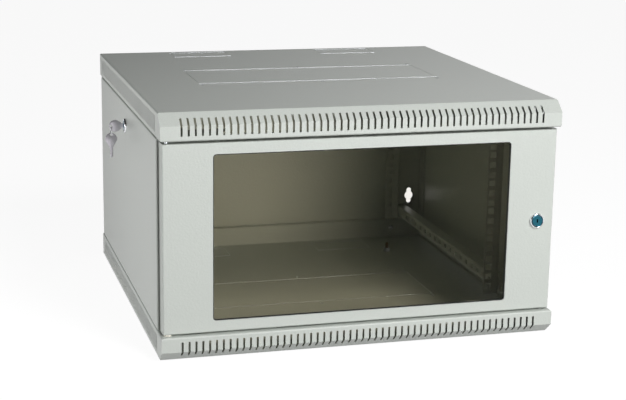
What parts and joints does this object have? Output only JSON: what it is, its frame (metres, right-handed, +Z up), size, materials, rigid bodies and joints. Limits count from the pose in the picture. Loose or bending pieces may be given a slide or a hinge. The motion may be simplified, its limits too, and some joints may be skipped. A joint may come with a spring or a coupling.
{
  "type": "wall mount network cabinet",
  "caption": "Wall mount network cabinet with a glazed front door, slotted top and bottom covers, locking side panels and rack rails.",
  "frame": {"origin": "middle of the underside, half way between the front lip and the wall face", "axes": "+X to the right seen from the front, +Y towards the wall, +Z up; the door faces -Y"},
  "size_m": [0.6361, 0.6, 0.361],
  "materials": {
    "grey_powder_coat": "light grey powder coat, fine texture, satin",
    "rail_steel": "light grey coat on steel rails",
    "zinc_plated_steel": "bright zinc plate",
    "copper_plated_steel": "copper plate",
    "smoked_glass": "tempered glass with a smoke tint",
    "black_rubber": "matt",
    "nylon": "natural nylon",
    "chromed_zinc_casting": "polished chrome plate",
    "lock_plug_metal": "plated plug",
    "key_steel": "nickel-plated steel"
  },
  "bodies": {
    "cabinet": {"bottom_cover": "grey_powder_coat", "top_cover": "grey_powder_coat", "rear_panel": "grey_powder_coat", "rear_panel_screws": "zinc_plated_steel", "left_front_post": "grey_powder_coat", "right_front_post": "grey_powder_coat", "post_screws": "zinc_plated_steel", "left_front_rack_rail": "rail_steel", "right_front_rack_rail": "rail_steel", "left_rear_rack_rail": "rail_steel", "right_rear_rack_rail": "rail_steel", "left_lower_depth_rail": "rail_steel", "right_lower_depth_rail": "rail_steel", "left_upper_depth_rail": "rail_steel", "right_upper_depth_rail": "rail_steel", "rack_rail_bolts": "zinc_plated_steel", "rack_rail_nuts": "zinc_plated_steel", "depth_rail_screws": "zinc_plated_steel", "depth_rail_nuts": "zinc_plated_steel", "earth_stud": "copper_plated_steel", "earth_washer": "zinc_plated_steel", "earth_nut": "copper_plated_steel"},
    "door": {"door_frame": "grey_powder_coat", "glass_seal": "black_rubber", "door_glass": "smoked_glass", "left_glass_retainer": "zinc_plated_steel", "right_glass_retainer": "zinc_plated_steel", "retainer_nuts": "zinc_plated_steel", "top_hinge_bracket": "grey_powder_coat", "bottom_hinge_bracket": "grey_powder_coat", "bottom_hinge_pin": "zinc_plated_steel", "hinge_washer": "nylon", "top_pin_spring": "zinc_plated_steel", "door_lock_body": "chromed_zinc_casting", "door_lock_nut": "zinc_plated_steel"},
    "spring_pin": {"top_hinge_pin": "zinc_plated_steel"},
    "door_lock": {"door_lock_plug": "lock_plug_metal", "door_lock_cam": "zinc_plated_steel", "door_cam_screw": "zinc_plated_steel"},
    "left_panel": {"left_side_panel": "grey_powder_coat", "left_lock_body": "chromed_zinc_casting", "left_lock_nut": "zinc_plated_steel"},
    "left_lock": {"left_lock_plug": "lock_plug_metal", "left_lock_cam": "zinc_plated_steel", "left_cam_screw": "zinc_plated_steel", "lock_key": "key_steel"},
    "right_panel": {"right_side_panel": "grey_powder_coat", "right_lock_body": "chromed_zinc_casting", "right_lock_nut": "zinc_plated_steel"},
    "right_lock": {"right_lock_plug": "lock_plug_metal", "right_lock_cam": "zinc_plated_steel", "right_cam_screw": "zinc_plated_steel"},
    "ring": {"key_ring": "key_steel"},
    "hanging_key": {"spare_key": "key_steel"}
  },
  "joints": [
    {"name": "door_swing", "type": "hinge", "parent": "cabinet", "child": "door", "pos_m": [-0.2895, -0.287, 0.1797], "axis": [0, 0, -1], "range_deg": [0, 180]},
    {"name": "spring_pin_slide", "type": "slide", "parent": "door", "child": "spring_pin", "axis": [0, 0, -1], "range_m": [0, 0.009], "stiffness_N_per_m": 600, "springref_m": -0.008, "deforming": ["top_pin_spring"]},
    {"name": "door_lock_turn", "type": "hinge", "parent": "door", "child": "door_lock", "pos_m": [0.2705, -0.293, 0.1797], "axis": [0, 1, 0], "range_deg": [0, 90]},
    {"name": "left_panel_tilt", "type": "hinge", "parent": "cabinet", "child": "left_panel", "pos_m": [-0.2995, 0.0108, 0.0394], "axis": [0, -1, 0], "range_deg": [0, 25]},
    {"name": "left_lock_turn", "type": "hinge", "parent": "left_panel", "child": "left_lock", "pos_m": [-0.3, 0.0108, 0.288], "axis": [1, 0, 0], "range_deg": [0, 90]},
    {"name": "right_panel_tilt", "type": "hinge", "parent": "cabinet", "child": "right_panel", "pos_m": [0.2995, 0.0108, 0.0394], "axis": [0, 1, 0], "range_deg": [0, 25]},
    {"name": "right_lock_turn", "type": "hinge", "parent": "right_panel", "child": "right_lock", "pos_m": [0.3, 0.0108, 0.288], "axis": [-1, 0, 0], "range_deg": [0, 90]},
    {"name": "key_ring_swing", "type": "hinge", "parent": "left_lock", "child": "ring", "pos_m": [-0.3232, 0.0108, 0.287], "axis": [0, 1, 0], "range_deg": [-15, 60]},
    {"name": "spare_key_swing", "type": "hinge", "parent": "ring", "child": "hanging_key", "pos_m": [-0.3232, 0.0108, 0.2748], "axis": [0, 1, 0], "range_deg": [-15, 60]}
  ]
}
